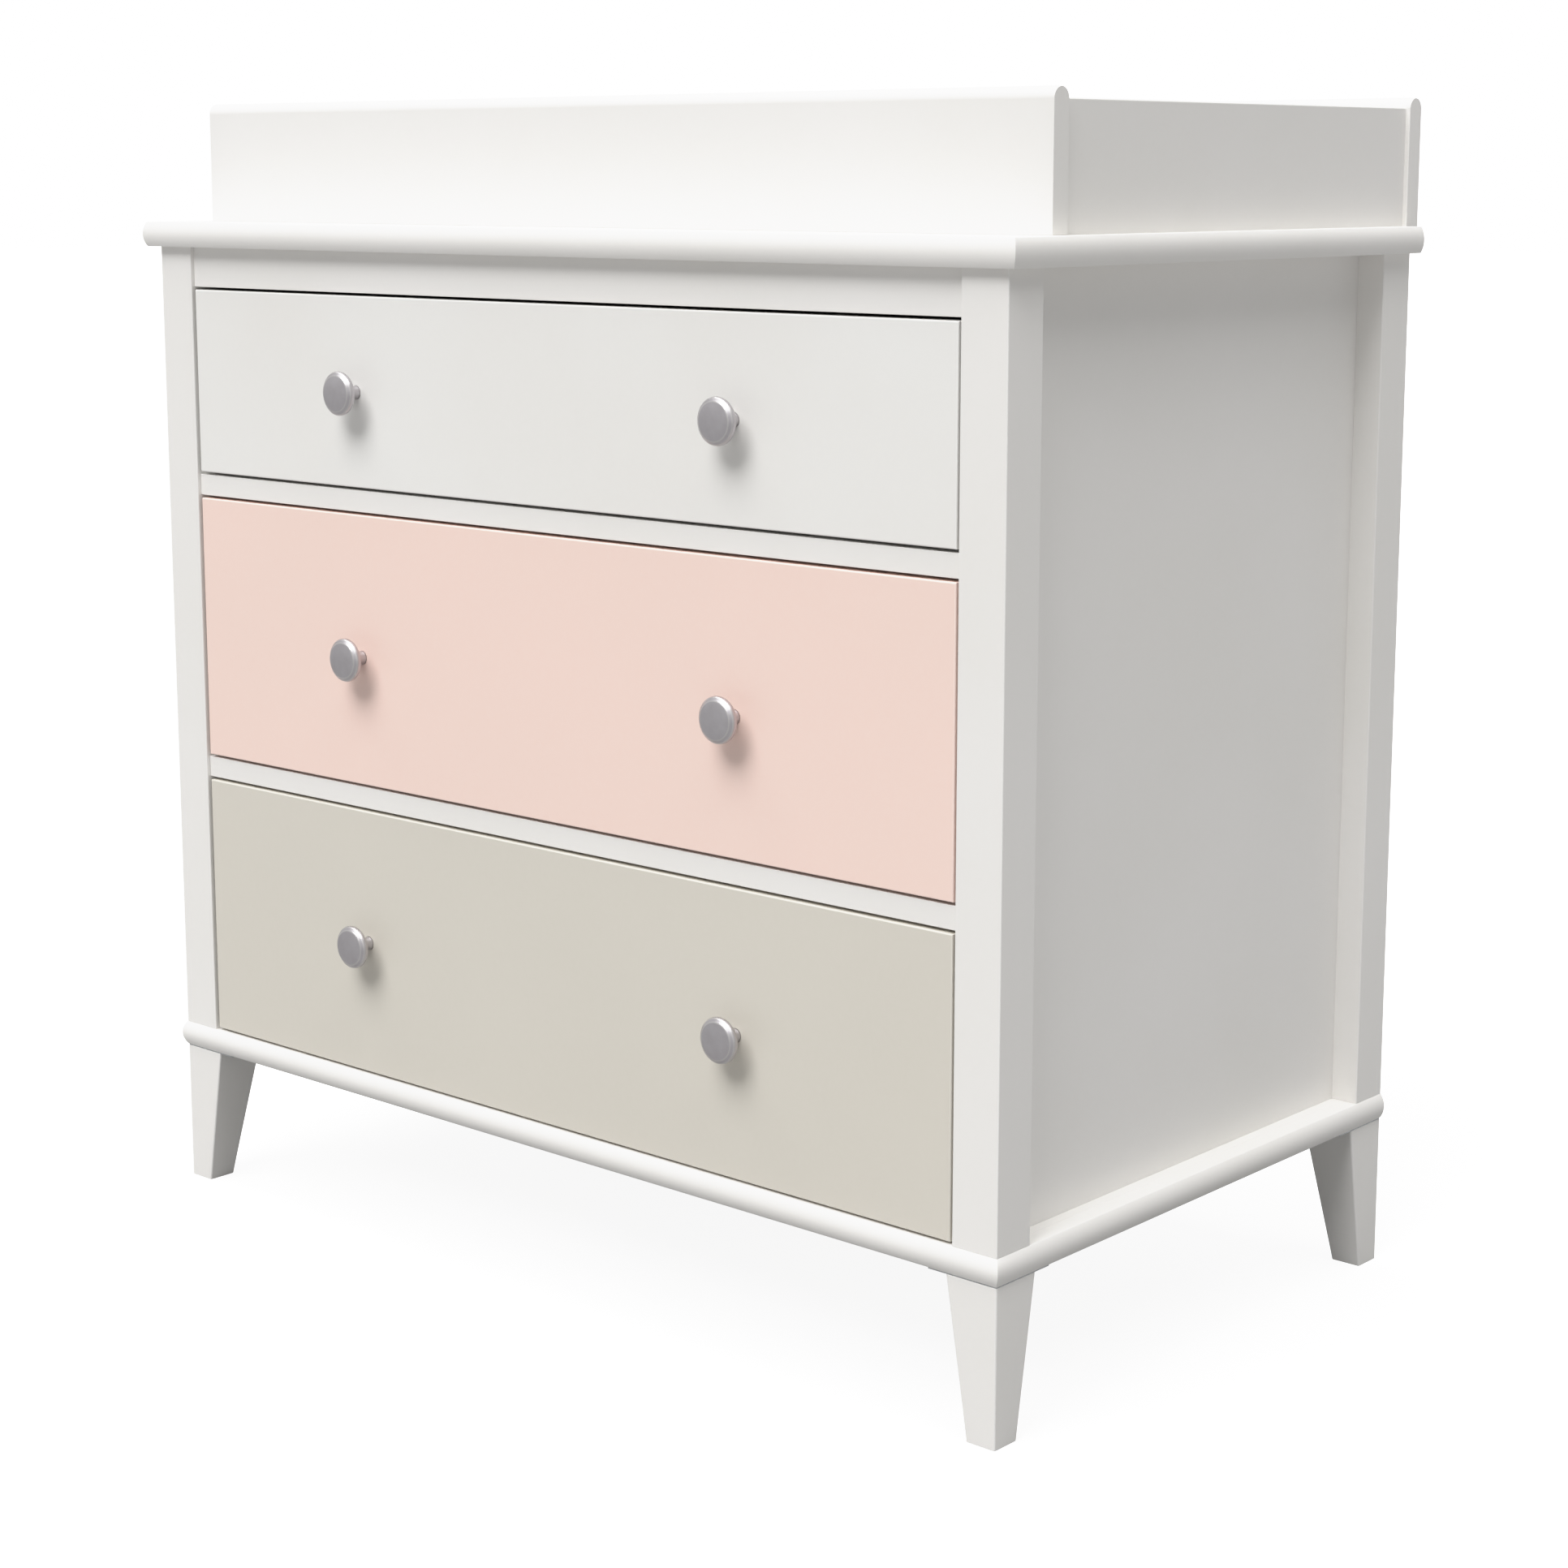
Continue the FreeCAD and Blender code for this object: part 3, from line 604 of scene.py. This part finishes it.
def add_knobs(drawer):
    """A drawer's two knobs and, behind its front, their screws."""
    node = drawer + "_drawer_knobs"
    low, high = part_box(node)
    front_low, front_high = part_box(drawer + "_drawer_front")
    middle_z = (low.z + high.z) / 2
    knobs = new_solid()
    for at_x in (low.x + KNOB_RADIUS, high.x - KNOB_RADIUS):
        head = turned(knob_outline(), TURN_STEPS)
        ease_edges(head, KNOB_SOFTEN, ring_of_head, sharper_than=RING_SHARP)
        put(knobs, head, facing((at_x, front_low.y, middle_z), (0, -1, 0)))
        shank = [(0, -KNOB_SCREW_GRIP), (KNOB_SCREW_RADIUS, -KNOB_SCREW_GRIP), (KNOB_SCREW_RADIUS, 0),
                 (KNOB_SCREW_HEAD, 0)]
        crown = [(KNOB_SCREW_HEAD * wide, KNOB_SCREW_HEIGHT * tall) for wide, tall in SCREW_CROWN]
        place = facing((at_x, front_high.y, middle_z), (0, 1, 0))
        put(knobs, screw(shank + crown, KNOB_SCREW_CROSS), place)
    stand_for(knobs, drawer + "_knobs", node)


# Rollers

def add_rollers(node, name):
    """The left and right nylon wheels: a rounded tread, a dished web on each face, and a hub."""
    low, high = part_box(node)
    middle = (low + high) / 2
    radius = (high.z - low.z) / 2
    wide = ROLLER_WIDTH
    web = radius - ROLLER_RIM
    half = [(ROLLER_BORE, 0), (ROLLER_HUB, 0), (ROLLER_HUB + ROLLER_DISH, ROLLER_DISH),
            (web - ROLLER_DISH, ROLLER_DISH), (web, 0), (radius - ROLLER_ROUND, 0)]
    tread = arc_through((radius - ROLLER_ROUND, 0), (radius, wide / 2), (radius - ROLLER_ROUND, wide),
                        TREAD_STEPS)
    outline = half[:-1] + tread + [(r, wide - h) for r, h in reversed(half[:-1])]
    wheels = new_solid()
    for start_x in (low.x, high.x - wide):
        wheel = turned(outline, ROLLER_STEPS, closed=True)
        put(wheels, wheel, facing((start_x, middle.y, middle.z), (1, 0, 0)))
    stand_for(wheels, name, node)


# Drawers

def add_drawer(drawer):
    """A painted front, the box behind it, its knobs and its running gear."""
    prefix = drawer + "_drawer_"
    front = new_solid()
    low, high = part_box(prefix + "front")
    block(front, low, high)
    ease_edges(front, FRONT_EASE, lambda edge: max(v.co.y for v in edge.verts) < low.y + END_EASE)
    ease_edges(front, END_EASE, segments=2)
    stand_for(front, prefix + "face", prefix + "front")
    for part in ("left_side", "right_side", "back", "bottom"):
        stand_for(cad_copy(prefix + part, INNER_EASE), prefix + part + "_board", prefix + part)
    stand_for(cad_copy(prefix + "runners", SHEET_EASE), prefix + "runner_pair", prefix + "runners")
    add_knobs(drawer)
    add_rollers(prefix + "rollers", prefix + "wheels")
    add_rollers("case_rollers_" + drawer, drawer + "_case_wheels")


# Fasteners and the wall bracket

def add_fasteners():
    """Cam locks, the screws and bracket at the rear, the case's runners, and the back panel's nails."""
    stand_for(cad_copy("cam_locks", LOCK_EASE), "cam_lock_set", "cam_locks")
    stand_for(cad_copy("rear_screws", SCREW_EASE), "rear_screw_set", "rear_screws")
    stand_for(cad_copy("wall_bracket", SHEET_EASE), "anti_tip_bracket", "wall_bracket")
    stand_for(cad_copy("case_runners", SHEET_EASE), "case_runner_set", "case_runners")
    low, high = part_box("back_panel")
    nails = new_solid()
    left, right = low.x + NAIL_INSET, high.x - NAIL_INSET
    bottom, top = low.z + NAIL_INSET, high.z - NAIL_INSET
    across, up = round((right - left) / NAIL_PITCH), round((top - bottom) / NAIL_PITCH)
    spots = [(left + (right - left) * i / across, z) for i in range(across + 1) for z in (bottom, top)]
    spots += [(x, bottom + (top - bottom) * i / up) for i in range(1, up) for x in (left, right)]
    for x, z in spots:
        place = facing((x, high.y + NAIL_HEIGHT / 2, z), (0, 1, 0))
        bmesh.ops.create_cone(nails, cap_ends=True, segments=NAIL_STEPS, radius1=NAIL_RADIUS,
                              radius2=NAIL_TOP_SHARE * NAIL_RADIUS, depth=NAIL_HEIGHT, matrix=place)
    finished(nails, "back_nails", "case", "zinc_plated_steel")


add_case()
add_mouldings("top", TOP_BULGE)
add_mouldings("base", BASE_BULGE)
add_legs()
add_tray()
for drawer_name in DRAWERS:
    add_drawer(drawer_name)
add_fasteners()


# Studio: a plain white floor, a broad key light over the front, and softer lights over the other sides

FLOOR_SIZE = 60.0
FLOOR_WHITE = 0.90
FLOOR_GLOW = 0.90
FLOOR_BOUNCE = 0.30
SKY = 0.26
REFLECTORS = 0.70
BACKDROP = 2.0
# Each light's heading from the front and height in degrees, its strength, and how wide it spreads
LIGHTS = {
    "key": (0, 55, 2.76, 36),
    "right_light": (90, 67, 1.12, 36),
    "left_light": (-90, 67, 1.12, 36),
    "rear_light": (180, 40, 0.60, 60),
}
# How bright light is shown: as it is up to the first pair, and ever more gently up to full white
BRIGHTEST = 2.0
ALL_COLOURS = 3
HIGHLIGHTS = ((0.72, 0.72), (0.87, 0.855), (1.0, 0.92), (1.2, 0.952), (1.44, 0.966), (1.7, 0.98))


def studio_white():
    """Matt white plastic lit a little from below, as on a light table, so that shadows on it stay pale.
    It throws back only part of its light on to the piece, as a small table would."""
    made = bpy.data.materials.new("studio_white")
    made.use_nodes = True
    tree = made.node_tree
    tree.nodes.clear()
    thrown = add(tree, "BsdfDiffuse", {"Color": (FLOOR_BOUNCE, FLOOR_BOUNCE, FLOOR_BOUNCE, 1)})
    sheet = add(tree, "BsdfDiffuse", {"Color": (FLOOR_WHITE, FLOOR_WHITE, FLOOR_WHITE, 1)})
    glow = add(tree, "Emission", {"Strength": FLOOR_GLOW})
    shown = add(tree, "AddShader", {0: sheet.outputs[0], 1: glow.outputs[0]})
    ray = add(tree, "LightPath").outputs["Is Camera Ray"]
    card = add(tree, "MixShader", {0: ray, 1: thrown.outputs[0], 2: shown.outputs[0]})
    add(tree, "OutputMaterial", {"Surface": card.outputs[0]})
    return made


def add_floor():
    """A wide flat sheet for the object to stand on."""
    bm = bmesh.new()
    bmesh.ops.create_grid(bm, x_segments=1, y_segments=1, size=FLOOR_SIZE / 2)
    mesh = bpy.data.meshes.new("studio_floor")
    bm.to_mesh(mesh)
    bm.free()
    mesh.materials.append(studio_white())
    floor = bpy.data.objects.new("studio_floor", mesh)
    bpy.context.scene.collection.objects.link(floor)


def add_sky():
    """A dim even light from all round, with pale reflector cards for the metal and the gloss to show.
    The backdrop is as white as the floor."""
    world = bpy.data.worlds.new("studio")
    world.use_nodes = True
    tree = world.node_tree
    tree.nodes.clear()
    ray = add(tree, "LightPath")
    cards = add(tree, "MapRange", {"Value": ray.outputs["Is Glossy Ray"],
                                   "To Min": SKY, "To Max": REFLECTORS})
    light = add(tree, "Background", {"Color": (1, 1, 1, 1), "Strength": cards.outputs["Result"]})
    seen = add(tree, "Background", {"Color": (1, 1, 1, 1), "Strength": BACKDROP})
    mix = add(tree, "MixShader", {0: ray.outputs["Is Camera Ray"], 1: light.outputs[0], 2: seen.outputs[0]})
    add(tree, "OutputWorld", {"Surface": mix.outputs[0]})
    bpy.context.scene.world = world


def add_lights():
    """Broad lights that are far off, so that each is even over the whole object."""
    for name, (heading, height, strength, spread) in LIGHTS.items():
        light = bpy.data.lights.new(name, "SUN")
        light.energy = strength
        light.angle = math.radians(spread)
        lamp = bpy.data.objects.new(name, light)
        lamp.rotation_euler = (math.radians(90 - height), 0, math.radians(heading))
        bpy.context.scene.collection.objects.link(lamp)


def soften_highlights():
    """Ease the brightest tones in, so that a white top still stands out from the white backdrop."""
    view = bpy.context.scene.view_settings
    view.view_transform = "Standard"
    view.use_curve_mapping = True
    view.curve_mapping.white_level = (BRIGHTEST, BRIGHTEST, BRIGHTEST)
    curve = view.curve_mapping.curves[ALL_COLOURS]
    for light, shown in HIGHLIGHTS:
        curve.points.new(light / BRIGHTEST, shown)
    # a straight run from black to the first pair
    for point in curve.points[:2]:
        point.handle_type = "VECTOR"
    view.curve_mapping.update()


# Camera: from the right of the front, level with the tray and tipped down a little

CAMERA_PLACE = (1.7540, -1.9456, 0.9294)
CAMERA_TURN = math.radians(41.53)
CAMERA_TIP = math.radians(9.855)
CAMERA_LENS = 69.58
CAMERA_SHIFT = -0.055


def add_camera():
    """The camera, with a small shift that frames the object without tipping it further."""
    data = bpy.data.cameras.new("camera")
    data.sensor_width = 36.0
    data.lens = CAMERA_LENS
    data.shift_y = CAMERA_SHIFT
    camera = bpy.data.objects.new("camera", data)
    camera.location = CAMERA_PLACE
    camera.rotation_euler = (math.pi / 2 - CAMERA_TIP, 0, CAMERA_TURN)
    bpy.context.scene.collection.objects.link(camera)
    bpy.context.scene.camera = camera


add_floor()
add_sky()
add_lights()
add_camera()
soften_highlights()
